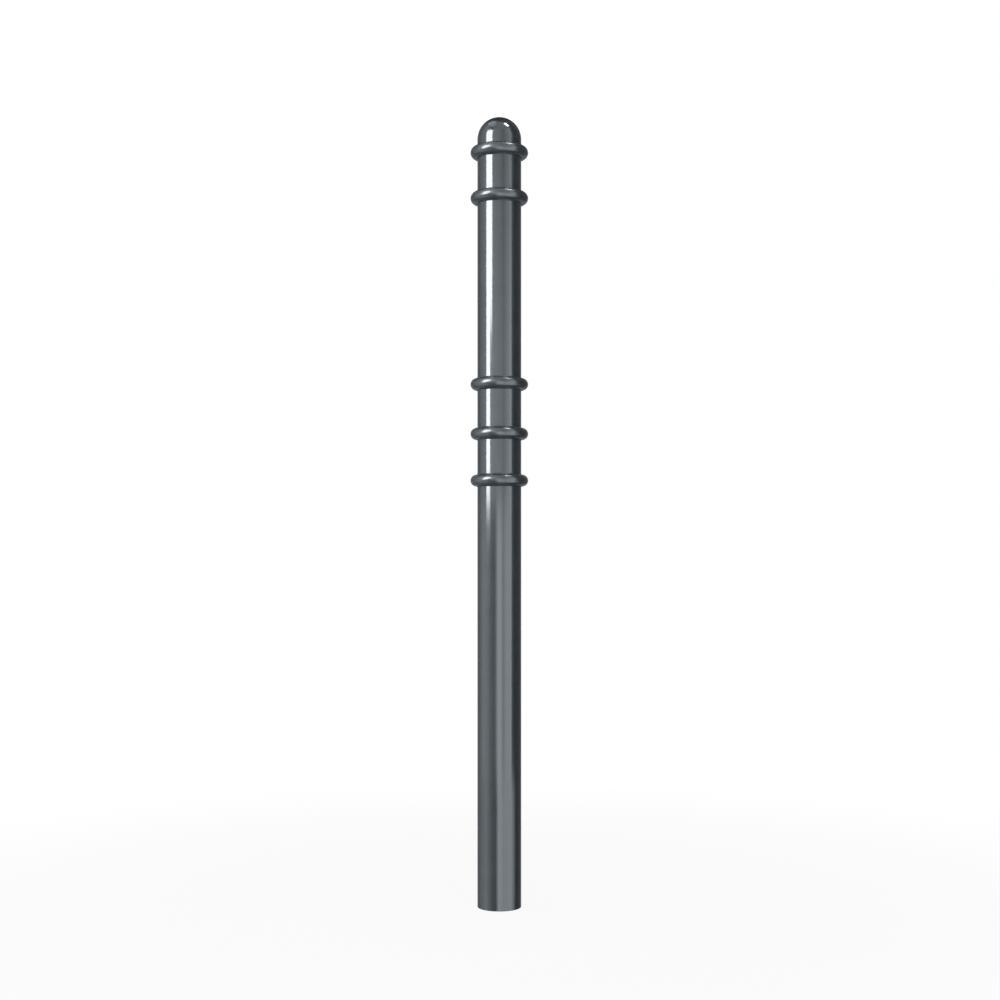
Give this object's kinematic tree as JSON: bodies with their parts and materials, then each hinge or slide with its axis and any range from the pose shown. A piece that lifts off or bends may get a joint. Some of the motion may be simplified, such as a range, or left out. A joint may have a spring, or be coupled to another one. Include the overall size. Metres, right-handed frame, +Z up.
{
  "type": "bollard",
  "caption": "Slim round steel street bollard with a domed head and decorative D-section collars at the neck and waist, planted in the ground to mark or protect a kerb.",
  "frame": {"origin": "centre of the tube's cut foot, on the plane that the post stands on in its pocket", "axes": "+Z up along the post's axis to the domed head; the post is round, so +X and +Y are free"},
  "size_m": [0.1002, 0.1, 1.37],
  "materials": {
    "painted_tube": "gloss",
    "painted_cap": "gloss",
    "painted_collars": "gloss",
    "painted_welds": "gloss"
  },
  "bodies": {
    "root": {"post_tube": "painted_tube", "domed_cap": "painted_cap", "neck_collar_top": "painted_collars", "neck_collar_low": "painted_collars", "waist_collar_high": "painted_collars", "waist_collar_mid": "painted_collars", "waist_collar_low": "painted_collars", "collar_welds": "painted_welds"}
  },
  "joints": []
}
